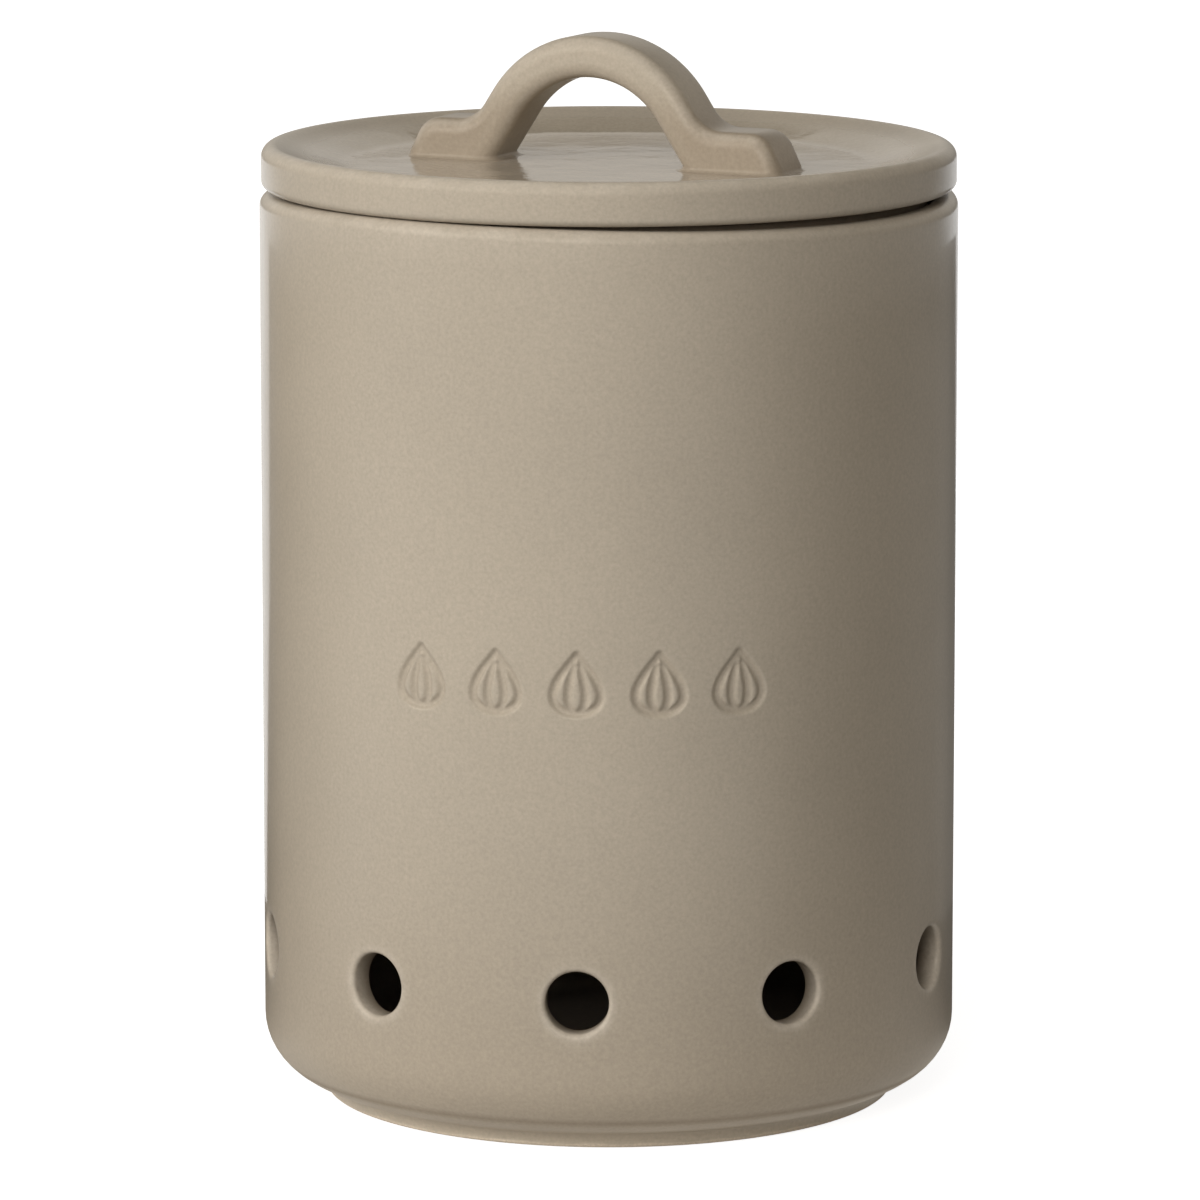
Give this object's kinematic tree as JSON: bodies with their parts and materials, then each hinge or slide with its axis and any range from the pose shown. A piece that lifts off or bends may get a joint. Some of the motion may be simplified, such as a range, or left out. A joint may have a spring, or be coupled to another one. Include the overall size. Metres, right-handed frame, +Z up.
{
  "type": "onion keeper",
  "caption": "Tall round stoneware jar with a ring of vents above its foot and a lift-off dished lid with a strap handle, for keeping onions dry and aired.",
  "frame": {"origin": "on the surface that the keeper stands on, in the middle of the foot ring", "axes": "+Z up along the jar's axis, -Y to the front, where the first vent and the impressed band are"},
  "size_m": [0.165, 0.165, 0.2526],
  "materials": {
    "glaze": "satin warm grey-beige glaze with fine specks",
    "bare_clay": "unglazed fired stoneware, matt and slightly gritty"
  },
  "bodies": {
    "jar": {"jar_body": "glaze", "foot_ring": "bare_clay"},
    "lid": {"lid_plate": "glaze", "lid_locating_ring": "glaze", "lid_handle": "glaze"}
  },
  "joints": [
    {"name": "lid_lift", "type": "slide", "parent": "jar", "child": "lid", "axis": [0, 0, 1], "range_m": [0, 0.2]}
  ]
}
